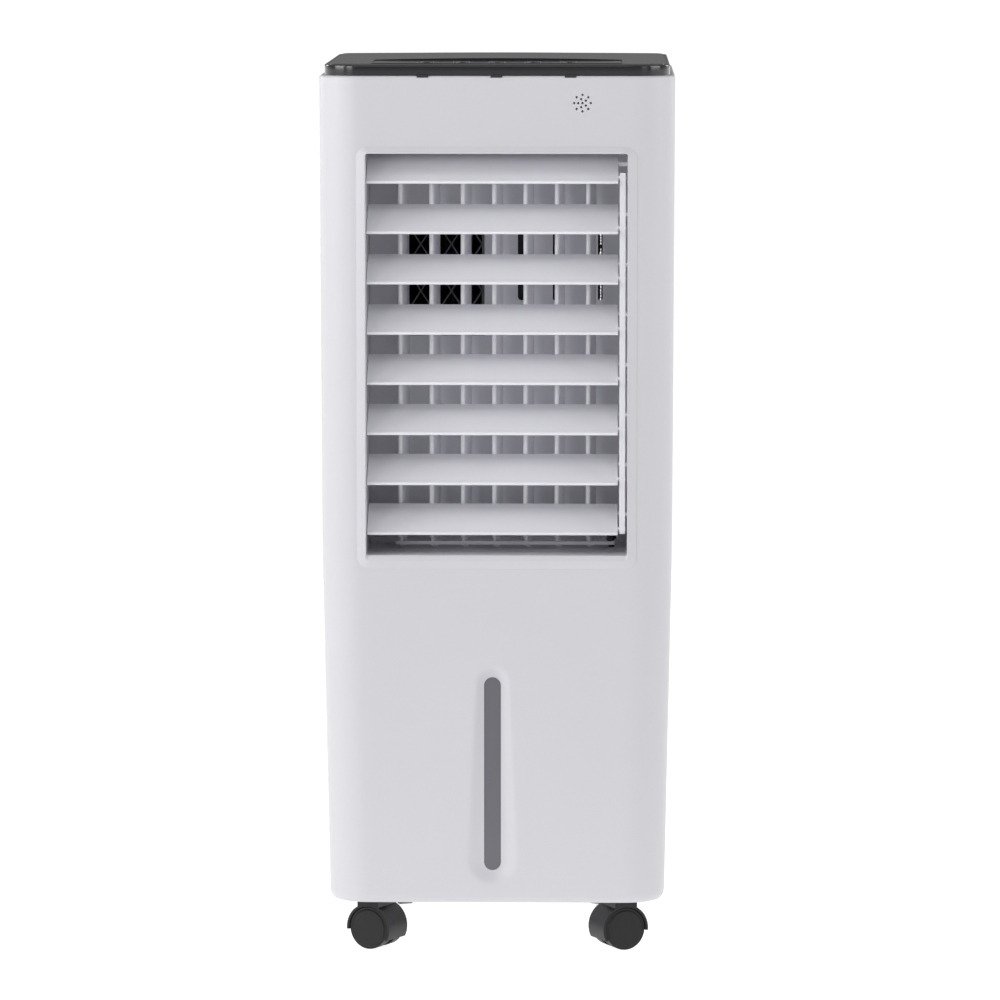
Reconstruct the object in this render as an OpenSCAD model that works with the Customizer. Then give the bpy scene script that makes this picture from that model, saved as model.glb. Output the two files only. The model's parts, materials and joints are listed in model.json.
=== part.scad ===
// Portable tower evaporative cooler on four swivel casters.
// Front is -Y, +Z is up, origin on the floor under the middle of the footprint.
// Air is drawn through a wet honeycomb pad in the rear cassette by a centrifugal
// blower with a vertical shaft, and leaves through swinging vanes and tilting louvres.

/* [Casing] */
// Width of the casing at its top edge
body_w = 300; // [298:1:304]
// Depth of the casing, bezel and cassette flange not counted
body_d = 314; // [314:1:314]
// Height of the casing's lower edge over the floor
foot_z = 46; // [46:1:46]
// Height of the casing's top edge over the floor
body_top = 747; // [746:0.5:748]
// Wall thickness of the casing shells
wall = 2.5; // [2:0.25:3]
// Radius of the front upright corners, seen from above
corner_f = 34; // [30:1:36]
// Radius of the rear upright corners, seen from above
corner_r = 18; // [16:1:20]
// Amount the casing narrows from the bezel's lower edge to the base
base_taper = 12; // [10:1:13]

/* [Air outlet] */
// Clear width of the outlet
outlet_w = 220; // [220:1:220]
// Number of horizontal louvres
louvre_n = 8; // [8:1:8]
// Distance between two louvre pivots
louvre_pitch = 42.4; // [42:0.1:42.5]
// Chord in front of the louvre's pivot
louvre_front = 28; // [26:1:29]
// Chord behind the louvre's pivot
louvre_rear = 14; // [12:1:14]
// Downward slope of the louvres at rest, in degrees
louvre_rest = 32; // [28:1:34]
// Number of upright vanes
vane_n = 7; // [7:1:7]
// Distance between two vane pivots
vane_pitch = 26.6; // [26:0.1:26.8]
// Chord of a vane
vane_chord = 36; // [32:1:36]
// Turn of the vanes at rest, in degrees
vane_rest = 10; // [6:1:12]

/* [Blower] */
// Outer radius of the squirrel cage wheel
wheel_r = 58; // [54:1:58]
// Number of blades on the wheel
blade_n = 32; // [24:1:36]

/* [Casters] */
// Distance of the caster stems from the middle plane
caster_x = 98; // [94:1:100]
// Distance of the caster stems from the cross plane
caster_y = 110; // [106:1:112]
// Radius of the caster wheels
caster_r = 18; // [18:1:18]
// Trail of the caster's axle behind its stem
caster_trail = 6; // [5:0.5:7]

/* [Hidden] */
$fn = 64;

white = [0.87, 0.87, 0.89];
grey = [0.56, 0.56, 0.60];
black = [0.05, 0.05, 0.06];

hy = body_d / 2;
split_y = -92;
mid_z = 350;
fil_z = foot_z + 8.5;
w_mid = body_w - 3;
w_low = w_mid - base_taper;

// outlet
out_z0 = 343.5;
out_z1 = 682;
lv_y = -127;
lv_z1 = 672.1;
lk_r = 20;
lk_x0 = 103.4;
lk_x1 = 108.4;
vn_y = -88;
vn_z0 = 353;
vn_z1 = 676;
va_r = 12;
cr_x = 97;
function lv_z(i) = lv_z1 - i * louvre_pitch;
function vn_x(i) = (i - (vane_n - 1) / 2) * vane_pitch;

// blower
bc = [5, 14];
bz0 = 514;
bz1 = 626;
mo_x0 = -86;
mo_x1 = -12;
mo_y = -57;
mo_z0 = 522;
mo_z1 = 624;
tongue = [-12, -48];
r0 = norm(tongue - bc);
r1 = bc[0] - mo_x0;
a0 = -105.3;
function sc_r(t) = r0 + (r1 - r0) * t;
function sc_pt(t, o) = [bc[0] + (sc_r(t) + o) * cos(a0 + (180 - a0) * t), bc[1] + (sc_r(t) + o) * sin(a0 + (180 - a0) * t)];

// rear cassette
cs_x = 113;
cs_z0 = 331;
cs_z1 = 689;
cs_y0 = 106;

// tank
tk_x = 120;
tk_y0 = -142;
tk_y1 = 150;
tk_z0 = 74;
tk_z1 = 250;

// keys and display
key_x = [-60, -30, 0, 30, 60];
key_y = -129;
flat_z = 757.6;

// level window
lw_x = -3.5;
lw_z0 = 81;
lw_z1 = 232;

// rest swivel angles of the casters, by corner
sw_fl = 62;
sw_fr = -65;
sw_rl = 200;
sw_rr = 150;

// thin outline discs for hulls
module plan(w, d, rf, rr, z) {
    for (s = [-1, 1]) {
        translate([s * (w / 2 - rf), -d / 2 + rf, z]) cylinder(r = rf, h = 0.02);
        translate([s * (w / 2 - rr), d / 2 - rr, z]) cylinder(r = rr, h = 0.02);
    }
}

// outline with round corners, exact
module plan2d(w, d, rf, rr) {
    square([w - 2 * rf, d - 2 * rf], center = true);
    translate([-w / 2, -d / 2 + rf]) square([w, d - rf - rr]);
    translate([-w / 2 + rf, -d / 2]) square([w - 2 * rf, rf + 1]);
    translate([-w / 2 + rr, d / 2 - rr - 1]) square([w - 2 * rr, rr + 1]);
    for (s = [-1, 1]) {
        translate([s * (w / 2 - rf), -d / 2 + rf]) circle(r = rf);
        translate([s * (w / 2 - rr), d / 2 - rr]) circle(r = rr);
    }
}

module bar(x0, x1, y0, y1, z0, z1) {
    translate([x0, y0, z0]) cube([x1 - x0, y1 - y0, z1 - z0]);
}

module cyl_y(x, z, r, y0, y1) {
    translate([x, y0, z]) rotate([-90, 0, 0]) cylinder(r = r, h = y1 - y0);
}

module cyl_x(y, z, r, x0, x1) {
    translate([x0, y, z]) rotate([0, 90, 0]) cylinder(r = r, h = x1 - x0);
}

module casing_outer() {
    hull() { plan(body_w, body_d, corner_f, corner_r, body_top - 0.02); plan(w_mid, body_d, corner_f, corner_r, mid_z); }
    hull() { plan(w_mid, body_d, corner_f, corner_r, mid_z); plan(w_low, body_d, corner_f, corner_r, fil_z); }
    hull() {
        plan(w_low, body_d, corner_f, corner_r, fil_z);
        plan(w_low - 1.2, body_d - 1.2, corner_f - 0.6, corner_r - 0.6, fil_z - 3.4);
        plan(w_low - 4.4, body_d - 4.4, corner_f - 2.2, corner_r - 2.2, fil_z - 6.2);
        plan(w_low - 8, body_d - 8, corner_f - 4, corner_r - 4, fil_z - 7.9);
        plan(w_low - 12, body_d - 12, corner_f - 6, corner_r - 6, foot_z);
    }
}

module casing_inner() {
    t = wall;
    hull() { plan(body_w - 2 * t, body_d - 2 * t, corner_f - t, corner_r - t, body_top - 3); plan(w_mid - 2 * t, body_d - 2 * t, corner_f - t, corner_r - t, mid_z); }
    hull() { plan(w_mid - 2 * t, body_d - 2 * t, corner_f - t, corner_r - t, mid_z); plan(w_low - 2 * t, body_d - 2 * t, corner_f - t, corner_r - t, fil_z + 0.5); }
    hull() { plan(w_low - 2 * t, body_d - 2 * t, corner_f - t, corner_r - t, fil_z + 0.5); plan(w_low - 17, body_d - 17, corner_f - 8.5, corner_r - 8.5, foot_z - 0.2); }
}

// scooped hollow round the level window
module dish(o) {
    hull() {
        cyl_y(lw_x, 234.5, 14 + o, -hy - 0.4 + o, -hy - 0.2 + o);
        cyl_y(lw_x, 84.5, 22 + o, -hy - 0.4 + o, -hy - 0.2 + o);
        cyl_y(lw_x, lw_z1, 8.4 + o, -152.2, -152 + o);
        cyl_y(lw_x, lw_z0, 8.4 + o, -152.2, -152 + o);
    }
}

module front_casing() color(white) difference() {
    union() {
        intersection() {
            difference() { casing_outer(); casing_inner(); }
            bar(-200, 200, -200, split_y, 0, 800);
        }
        dish(2.2);
        // bosses that take the bezel's screws, beside the outlet
        for (s = [-1, 1], z = [420, 512, 604]) cyl_y(s * 126, z, 4, -hy + 1, -140);
    }
    bar(-113.5, 113.5, -170, -140, out_z0 - 3.5, out_z1 + 3.5);
    dish(0);
    hull() { cyl_y(lw_x, lw_z1, 7.1, -160, -140); cyl_y(lw_x, lw_z0, 7.1, -160, -140); }
    // roof opening under the top cover
    bar(-132, 132, -138, 0, body_top - 10, body_top + 1);
    // notches for the top cover's tabs
    for (x = [-62, 0, 62]) bar(x - 5, x + 5, -hy - 1, -149.6, body_top - 1.4, body_top + 1);
    // sounder holes
    translate([72, -hy, 724.5]) rotate([90, 0, 0]) {
        translate([0, 0, -5]) cylinder(r = 0.95, h = 10, $fn = 16);
        for (a = [0 : 4]) rotate(a * 72 + 36) translate([3.5, 0, -5]) cylinder(r = 0.95, h = 10, $fn = 16);
        for (a = [0 : 7]) rotate(a * 45) translate([6.9, 0, -5]) cylinder(r = 0.95, h = 10, $fn = 16);
    }
}

module grip(o) {
    for (s = [-1, 1]) hull() for (y = [-8, 62]) {
        translate([s * (body_w / 2 + 2 - (o > 0 ? 4 : 0)), y, 655]) rotate([0, 90, 0]) cylinder(r = 13 + o, h = 1, center = true, $fn = 40);
        translate([s * (body_w / 2 - 16 - o), y, 660]) rotate([0, 90, 0]) cylinder(r = 8 + o, h = 0.4, center = true, $fn = 40);
    }
}

module rear_casing() color(white) difference() {
    union() {
        intersection() {
            difference() { casing_outer(); casing_inner(); }
            bar(-200, 200, split_y + 0.35, 200, 0, 800);
        }
        grip(2);
        for (s = [-1, 1], z = [300, 500, 715]) cyl_y(s * 125.5, z, 4.2, 138, hy - 1);
        cyl_y(-100, 296, 10, 146, hy - 1);
    }
    grip(0);
    // cassette opening, tank opening, roof opening
    bar(-cs_x - 1.5, cs_x + 1.5, 140, 170, cs_z0 - 1.5, cs_z1 + 1.5);
    bar(-tk_x - 2, tk_x + 2, 140, 170, tk_z0 - 12.5, tk_z1 + 4.5);
    bar(-132, 132, -60, 140, body_top - 10, body_top + 1);
    bar(-132, 132, -100, -60, body_top - 10, body_top + 1);
    for (s = [-1, 1], z = [300, 500, 715]) cyl_y(s * 125.5, z, 1.7, 137, 170);
    cyl_y(-100, 296, 7, 140, 170);
}

module base_pan() color(white) difference() {
    union() {
        translate([0, 0, foot_z + 0.4]) linear_extrude(4) plan2d(w_low - 17.2, body_d - 17.2, 25, 9);
        for (sx = [-1, 1], sy = [-1, 1]) translate([sx * caster_x, sy * caster_y, foot_z + 2]) cylinder(r = 10, h = 20.5);
        // runners that carry the tank
        for (s = [-1, 1]) bar(s * 62 - 2, s * 62 + 2, -138, 138, foot_z + 2, tk_z0 - 0.4);
        bar(-60, 60, -2, 2, foot_z + 2, foot_z + 14);
    }
    for (sx = [-1, 1], sy = [-1, 1]) translate([sx * caster_x, sy * caster_y, foot_z - 1]) cylinder(r = 4.05, h = 20);
}

function crown(x) = 760 - 2.2 * pow(x / 126, 2);

module top_cover() color(black) difference() {
    union() {
        intersection() {
            translate([0, 0, body_top]) linear_extrude(20) plan2d(291, 305, 30, 15);
            translate([0, 170, 0]) rotate([90, 0, 0]) linear_extrude(340)
                polygon(concat([[150, body_top - 5], [-150, body_top - 5]], [for (i = [0 : 30]) [-150 + 10 * i, crown(-150 + 10 * i)]]));
        }
        for (x = [-62, 0, 62]) bar(x - 4.8, x + 4.8, -156.6, -150, body_top - 1.3, body_top + 1);
        // skirt that drops into the roof opening
        difference() {
            bar(-131, 131, -137, 137, body_top - 6, body_top + 1);
            bar(-128.5, 128.5, -134.5, 134.5, body_top - 7, body_top + 2);
        }
    }
    bar(-128.5, 128.5, -134.5, 134.5, body_top - 1, 753.6);
    // flat bed of the control panel
    bar(-105, 105, -147, -74, flat_z - 1.2, 770);
    for (x = key_x) translate([x, key_y, 740]) { cylinder(r = 7.4, h = 30); cylinder(r = 9.2, h = 13.6); }
    bar(-36, 36, -111, -85, 745, 770);
}

module control_panel() color([0.03, 0.03, 0.035]) difference() {
    bar(-104.8, 104.8, -146.8, -74.2, flat_z - 1.2, flat_z);
    for (x = key_x) translate([x, key_y, 740]) cylinder(r = 7.4, h = 30);
    bar(-34, 34, -109, -87, 745, 770);
}

module display_window() color([0.08, 0.08, 0.1]) {
    bar(-33.9, 33.9, -108.9, -87.1, flat_z - 1.3, flat_z + 0.2);
    bar(-35.8, 35.8, -110.8, -85.2, flat_z - 2.6, flat_z - 1.3);
}

module control_board() color([0.05, 0.32, 0.16]) {
    bar(-80, 80, -133, -84, 747.4, 749);
    for (x = key_x) bar(x - 3, x + 3, key_y - 3, key_y + 3, 749, 751.6);
    bar(-32, 32, -107, -89, 749, 754.6);
    for (s = [-1, 1]) bar(s * 76 - 2, s * 76 + 2, -110, -106, 749, 753.6);
}

module key(i) color([0.12, 0.12, 0.13]) translate([key_x[i], key_y, 0]) difference() {
    union() {
        translate([0, 0, 753]) cylinder(r = 7, h = 5.3);
        translate([0, 0, 752.5]) cylinder(r = 8.8, h = 0.8);
    }
    // shallow finger dish
    translate([0, 0, 758.3 + 39.5]) sphere(r = 40, $fn = 96);
}

module level_window() color([0.42, 0.42, 0.44]) {
    bar(lw_x - 6.9, lw_x + 6.9, -152, -149.4, lw_z0, lw_z1);
    cyl_y(lw_x, lw_z0, 6.9, -152, -149.4);
    cyl_y(lw_x, lw_z1, 6.9, -152, -149.4);
    bar(lw_x - 10, lw_x + 10, -149.8, -147.4, lw_z0 - 10, lw_z1 + 10);
}

module louvre_frame() color(white) difference() {
    union() {
        // bezel
        bar(-118, 118, -160, -hy, 332, 688);
        bar(-112.5, 112.5, -hy - 0.5, -113.5, out_z0 - 2.5, out_z1 + 2.5);
        for (s = [-1, 1], i = [0 : louvre_n - 1]) cyl_x(lv_y, lv_z(i), 4.4, s > 0 ? 111 : -115.5, s > 0 ? 115.5 : -111);
    }
    bar(-outlet_w / 2, outlet_w / 2, -170, -110, out_z0, out_z1);
    for (i = [0 : louvre_n - 1]) cyl_x(lv_y, lv_z(i), 2, -114.5, 114.5);
}

// slat profile, thickest at the pivot, with a round lip in front
module louvre_section() {
    f = louvre_front;
    r = louvre_rear;
    translate([0, -f + 1.5]) circle(r = 1.5, $fn = 32);
    polygon([[1.5, -f + 1.5], [1.55, -f + 6], [1.85, -12], [2.15, -3], [2.15, 3], [1.6, r - 6], [0.8, r - 0.8],
        [-0.8, r - 0.8], [-1.6, r - 6], [-2.15, 3], [-2.15, -3], [-1.85, -12], [-1.55, -f + 6], [-1.5, -f + 1.5]]);
    translate([0, r - 0.8]) circle(r = 0.8, $fn = 24);
}

module louvre(i) color(white) translate([0, lv_y, lv_z(i)]) rotate([louvre_rest, 0, 0]) {
    // the profile's first axis is the slat's thickness and its second the chord
    translate([-109.4, 0, 0]) rotate([0, 90, 0]) mirror([1, 0, 0]) linear_extrude(211.6) louvre_section();
    cyl_x(0, 0, 1.95, -113.9, 114);
    cyl_x(-lk_r, 0, 1.5, 102, 109.2);
}

module louvre_link() color(white) difference() {
    dy = lv_y - lk_r * cos(louvre_rest);
    dz = -lk_r * sin(louvre_rest);
    bar(lk_x0, lk_x1, dy - 3.4, dy + 3.4, lv_z(louvre_n - 1) + dz - 4, lv_z(0) + dz + 4);
    for (i = [0 : louvre_n - 1]) cyl_x(dy, lv_z(i) + dz, 1.55, lk_x0 - 1, lk_x1 + 1);
}

module vane_frame() color(white) difference() {
    union() {
        bar(-112.5, 112.5, -113.5, -60, out_z0 - 2.5, out_z1 + 2.5);
        for (i = [0 : vane_n - 1], z = [out_z0 - 5, out_z1 + 1.5]) translate([vn_x(i), vn_y, z]) cylinder(r = 4.2, h = 3.5);
        translate([cr_x, vn_y, out_z0 - 5]) cylinder(r = 5.5, h = 3.5);
    }
    bar(-outlet_w / 2, outlet_w / 2, -120, -50, out_z0, out_z1);
    for (i = [0 : vane_n - 1]) {
        translate([vn_x(i), vn_y, out_z0 - 4.5]) cylinder(r = 2, h = 6);
        translate([vn_x(i), vn_y, out_z1 - 1]) cylinder(r = 2, h = 5.5);
    }
    translate([cr_x, vn_y, out_z0 - 6]) cylinder(r = 2.5, h = 8);
}

module vane(i) color([0.78, 0.78, 0.82]) translate([vn_x(i), vn_y, 0]) rotate(-vane_rest) {
    bar(-0.8, 0.8, -vane_chord / 2, vane_chord / 2, vn_z0, vn_z1);
    translate([0, 0, vn_z0 - 0.5]) cylinder(r = 3, h = 14);
    translate([0, 0, vn_z1 - 13.5]) cylinder(r = 3, h = 14);
    translate([0, 0, out_z0 - 4.2]) cylinder(r = 1.95, h = 14);
    translate([0, 0, vn_z1 - 2]) cylinder(r = 1.95, h = out_z1 + 4.2 - vn_z1 + 2);
    // arm and pin for the link
    translate([0, -va_r, vn_z0 - 7.6]) cylinder(r = 1.5, h = 12);
    bar(-2, 2, -va_r - 2.5, 0, vn_z0 - 0.6, vn_z0 + 2);
}

module vane_link() color(white) difference() {
    dx = -va_r * sin(vane_rest);
    dy = -va_r * cos(vane_rest);
    bar(vn_x(0) + dx - 5, cr_x + dx + 4.5, vn_y + dy - 3, vn_y + dy + 3, 346.5, 349.5);
    for (i = [0 : vane_n - 1]) translate([vn_x(i) + dx, vn_y + dy, 340]) cylinder(r = 1.55, h = 20);
    translate([cr_x + dx, vn_y + dy, 340]) cylinder(r = 1.55, h = 20);
}

module swing_crank() color(black) translate([cr_x, vn_y, 0]) rotate(-vane_rest) {
    translate([0, 0, 336]) cylinder(r = 2.45, h = 17);
    translate([0, 0, 350.4]) cylinder(r = 4.2, h = 3);
    bar(-2, 2, -va_r - 2.5, 0, 350.4, 353);
    translate([0, -va_r, 345.8]) cylinder(r = 1.5, h = 6);
}

module swing_motor() color([0.7, 0.7, 0.72]) difference() {
    union() {
        translate([cr_x, vn_y, 319]) cylinder(r = 13, h = 19.5);
        bar(cr_x - 17, cr_x + 11, vn_y - 4, vn_y + 4, 337, 338.5);
        bar(cr_x - 6, cr_x + 6, vn_y + 11, vn_y + 17, 322, 335);
    }
    translate([cr_x, vn_y, 335.4]) cylinder(r = 2.6, h = 5);
}

module slot_y(x, w, z0, z1, y0, y1) {
    bar(x - w / 2, x + w / 2, y0, y1, z0 + w / 2, z1 - w / 2);
    cyl_y(x, z0 + w / 2, w / 2, y0, y1);
    cyl_y(x, z1 - w / 2, w / 2, y0, y1);
}

module air_guide() color(grey) difference() {
    union() {
        bar(-112.5, 112.5, -60, -57, out_z0 - 2.5, out_z1 + 2.5);
        // stiffening ribs
        for (x = [-104, 0, 58, 104]) bar(x - 1, x + 1, -57.2, -50, out_z0 + 8, out_z0 + 150);
    }
    bar(mo_x0, mo_x1, -70, -50, mo_z0, mo_z1);
    slot_y(20, 7, 552, 616, -70, -52);
    slot_y(48, 3, 552, 616, -70, -52);
    slot_y(87, 4, 552, 616, -70, -52);
}

module outlet_guard() color([0.22, 0.22, 0.24]) intersection() {
    union() {
        difference() {
            bar(mo_x0 + 0.2, mo_x1 - 0.2, -60.6, -57.4, mo_z0 + 0.2, mo_z1 - 0.2);
            bar(mo_x0 + 2, mo_x1 - 2, -70, -50, mo_z0 + 2, mo_z1 - 2);
        }
        for (i = [-3 : 5], s = [-1, 1])
            translate([-66.4 + 26.2 * i - s * 30.3 * tan(33.2), -59.5 + s * 0.5, (bz0 + bz1) / 2]) rotate([0, s * 33.2, 0]) cylinder(r = 0.7, h = 160, center = true, $fn = 16);
    }
    bar(mo_x0 + 0.2, mo_x1 - 0.2, -62, -56, mo_z0 + 0.2, mo_z1 - 0.2);
}

module scroll2d(o) {
    polygon(concat(
        [[mo_x1 + o, mo_y], [mo_x1 + o, tongue[1] - 1.35 * o]],
        [for (i = [1 : 36]) sc_pt(i / 36, o)],
        [[mo_x0 - o, mo_y]]));
}

module blower_housing() color(grey) difference() {
    union() {
        translate([0, 0, bz0 - 2]) linear_extrude(bz1 - bz0 + 2) scroll2d(2);
        translate([bc[0], bc[1], bz0 - 6]) cylinder(r = 53, h = 5);
    }
    translate([0, 0, bz0]) linear_extrude(bz1 - bz0 + 1) scroll2d(0);
    translate([bc[0], bc[1], bz0 - 8]) cylinder(r = 50, h = 12);
}

module blower_cover() color(grey) difference() {
    union() {
        translate([0, 0, bz1 + 0.1]) linear_extrude(2) scroll2d(2);
        translate([bc[0], bc[1], bz1 + 0.1]) cylinder(r = 53, h = 6);
    }
    translate([bc[0], bc[1], bz1 - 4]) cylinder(r = 50, h = 14);
}

module blower_wheel() color(black) translate([bc[0], bc[1], 0]) {
    difference() { translate([0, 0, 518]) cylinder(r = wheel_r, h = 2.4); translate([0, 0, 510]) cylinder(r = 45, h = 20); }
    difference() { translate([0, 0, 619.6]) cylinder(r = wheel_r, h = 2.4); translate([0, 0, 610]) cylinder(r = 45, h = 20); }
    difference() {
        union() {
            translate([0, 0, 569]) cylinder(r = wheel_r - 1, h = 2.4);
            translate([0, 0, 560]) cylinder(r = 11, h = 21);
        }
        translate([0, 0, 550]) cylinder(r = 4, h = 40);
    }
    for (k = [0 : blade_n - 1]) rotate(k * 360 / blade_n) translate([51, 0, 519]) rotate(32) bar(-7, 7, -0.55, 0.55, 0, 102);
}

module motor_shaft() color([0.75, 0.75, 0.77]) translate([bc[0], bc[1], 448]) cylinder(r = 4, h = 136);

module fan_motor() color([0.35, 0.36, 0.38]) difference() {
    union() {
        translate([bc[0], bc[1], 446]) cylinder(r = 36, h = 50);
        translate([bc[0], bc[1], 440]) cylinder(r = 12, h = 62);
    }
    translate([bc[0], bc[1], 446]) cylinder(r = 4.05, h = 60);
}

module motor_bracket() color([0.68, 0.69, 0.71]) difference() {
    union() {
        translate([bc[0], bc[1], 496]) cylinder(r = 34, h = 2.6);
        for (a = [90, 210, 330]) translate([bc[0], bc[1], 0]) rotate(a) {
            bar(24, 57.5, -6, 6, 496, 498.6);
            bar(54, 57.5, -6, 6, 496, 512);
        }
    }
    translate([bc[0], bc[1], 490]) cylinder(r = 12.4, h = 12);
}

module filter_frame() color(white) difference() {
    union() {
        // flange, box that holds the pad
        bar(-cs_x - 6, cs_x + 6, hy, 160, cs_z0 - 6, cs_z1 + 6);
        bar(-cs_x, cs_x, cs_y0, hy + 1, cs_z0, cs_z1);
    }
    bar(-cs_x + 2.5, cs_x - 2.5, cs_y0 - 1, 153.5, cs_z0 + 2.5, cs_z1 - 2.5);
    // grille slots: 11 bars upright by 6 across
    for (i = [0 : 11], j = [0 : 6]) {
        x0 = -108 + i * 18.1;
        z0 = cs_z0 + 6 + j * 49.9;
        bar(x0, x0 + 14.9, 150, 170, z0, z0 + 46.5);
    }
    // feed and drain slots above and below the pad
    for (i = [-3 : 3], z = [cs_z0 - 1, cs_z1 - 4]) bar(i * 30 - 10, i * 30 + 10, 116, 136, z, z + 5);
    // thumb cut for pulling the cassette
    bar(-24, 24, hy + 0.9, 162, cs_z1 + 1.6, cs_z1 + 8);
}

module dust_filter() color([0.25, 0.26, 0.28]) {
    difference() {
        bar(-110.2, 110.2, 149.4, 153, cs_z0 + 2.8, cs_z1 - 2.8);
        bar(-106.5, 106.5, 140, 160, cs_z0 + 6.5, cs_z1 - 6.5);
    }
    bar(-107, 107, 150.6, 151.4, cs_z0 + 6, cs_z1 - 6);
}

module cooling_pad() color([0.62, 0.45, 0.26]) difference() {
    bar(-110.2, 110.2, 107.5, 148.8, cs_z0 + 2.8, cs_z1 - 2.8);
    // air passages
    for (i = [-13 : 13], j = [0 : 6]) bar(i * 8 - 3.2, i * 8 + 3.2, 100, 150, cs_z0 + 6.5 + j * 49.9, cs_z0 + 52.5 + j * 49.9);
}

module drip_tray() color(grey) difference() {
    union() {
        bar(-116, 116, 108, 146, 692, 712);
        for (s = [-1, 1]) bar(s * 90 - 8, s * 90 + 8, 145, hy - wall, 706, 712);
    }
    bar(-114, 114, 110, 144, 694, 713);
    for (i = [-5 : 5], y = [118, 136]) translate([i * 20, y, 690]) cylinder(r = 1.6, h = 6, $fn = 20);
    cyl_x(127, 703, 3.9, 110, 120);
}

module elbow(cx, cz, a, r) {
    // quarter bend in the XZ plane at y = 127
    translate([cx, 127, cz]) rotate([90, 0, 0]) rotate([0, 0, a]) rotate_extrude(angle = 90) translate([14, 0]) circle(r = r, $fn = 32);
}

module water_hose() color([0.8, 0.84, 0.86]) {
    translate([70, 127, 121]) cylinder(r = 3.8, h = 165.01);
    elbow(84, 286, 90, 3.8);
    cyl_x(127, 300, 3.8, 83.99, 114.01);
    elbow(114, 314, 270, 3.8);
    translate([128, 127, 313.99]) cylinder(r = 3.8, h = 375.02);
    elbow(114, 689, 0, 3.8);
    cyl_x(127, 703, 3.8, 112.6, 114.01);
}

module water_pump() color([0.13, 0.14, 0.16]) {
    bar(48, 92, 108, 146, 78, 108);
    translate([70, 127, 107]) cylinder(r = 13, h = 6);
    translate([70, 127, 112]) cylinder(r = 5.4, h = 9);
    for (s = [-1, 1], y = [112, 142]) translate([70 + s * 18, y, 77]) cylinder(r = 3, h = 2);
}

module water_tank() color([0.8, 0.8, 0.83]) difference() {
    union() {
        bar(-tk_x, tk_x, tk_y0, tk_y1 + 1, tk_z0, tk_z1);
        // pocket of the finger pull
        bar(-57.5, 57.5, 136.5, tk_y1, 201.5, 245);
        // drawer front
        bar(-tk_x - 1.2, tk_x + 1.2, tk_y1, hy, tk_z0 - 11.6, tk_z1 + 3.6);
    }
    difference() {
        bar(-tk_x + 2.5, tk_x - 2.5, tk_y0 + 2.5, tk_y1 - 1, tk_z0 + 2.5, tk_z1 + 10);
        bar(-57.5, 57.5, 136.5, tk_y1 + 1, 201.5, 245);
    }
    // finger pull, open to the rear and undercut at its top
    bar(-55, 55, 139, hy + 3, 204, 232);
    bar(-55, 55, 139, hy - 2.6, 228, 242.5);
    cyl_y(84, 92, 9, tk_y1 - 4, hy + 1);
}

module drain_plug() color([0.2, 0.2, 0.22]) {
    cyl_y(84, 92, 8.95, 147.5, 154.5);
    bar(82.6, 85.4, 154, 156.6, 85, 99);
}

module caster_place(x, y, a) {
    translate([x, y, 0]) rotate(a) children();
}

// axle along X, trailing towards +Y
module caster_hood() color(black) difference() {
    union() {
        difference() {
            union() {
                intersection() {
                    cyl_x(caster_trail, caster_r, caster_r + 3, -15.5, 15.5);
                    union() {
                        bar(-16, 16, -40, 40, caster_r - 2, 60);
                        bar(-16, 16, -40, 0, caster_r - 9.5, 60);
                    }
                }
                bar(-15.5, 15.5, -4, 16.5, caster_r + 12, foot_z - 2.4);
            }
            difference() {
                cyl_x(caster_trail, caster_r, caster_r + 0.7, -20, 20);
                bar(-3.6, 3.6, -40, 40, 0, 80);
            }
        }
        // boss round the axle, collar and stem
        cyl_x(caster_trail, caster_r, 5.5, -3.6, 3.6);
        translate([0, 0, foot_z - 4]) cylinder(r = 9, h = 2.8);
        translate([0, 0, foot_z - 5]) cylinder(r = 4, h = 23);
    }
    cyl_x(caster_trail, caster_r, 2.05, -10, 10);
}

module caster_wheels() color([0.16, 0.16, 0.17]) translate([0, caster_trail, caster_r]) {
    for (s = [-1, 1]) difference() {
        union() {
            rotate([0, s * 90, 0]) translate([0, 0, 4.2]) cylinder(r = caster_r, h = 10.4);
            rotate([0, s * 90, 0]) translate([0, 0, 14.5]) cylinder(r1 = caster_r - 1.6, r2 = caster_r - 2.6, h = 1.1);
        }
        rotate([0, s * 90, 0]) translate([0, 0, 3]) cylinder(r = 2, h = 9);
        rotate([0, s * 90, 0]) difference() {
            translate([0, 0, 3]) cylinder(r = 14.5, h = 7);
            translate([0, 0, 2]) cylinder(r = 5, h = 9);
        }
    }
    cyl_x(0, 0, 2, -12, 12);
}

module cord_gland() color(black) difference() {
    union() {
        cyl_y(-100, 296, 6.9, 146, hy);
        cyl_y(-100, 296, 9.5, hy, hy + 2.6);
    }
    cyl_y(-100, 296, 3.6, 140, 170);
}

module casing_screws() color([0.6, 0.6, 0.62]) for (s = [-1, 1], z = [300, 500, 715]) {
    cyl_y(s * 125.5, z, 1.5, 141, hy + 0.5);
    difference() {
        cyl_y(s * 125.5, z, 3.3, hy + 0.1, hy + 1.9);
        bar(s * 125.5 - 2, s * 125.5 + 2, hy + 1, hy + 3, z - 0.35, z + 0.35);
        bar(s * 125.5 - 0.35, s * 125.5 + 0.35, hy + 1, hy + 3, z - 2, z + 2);
    }
}

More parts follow.
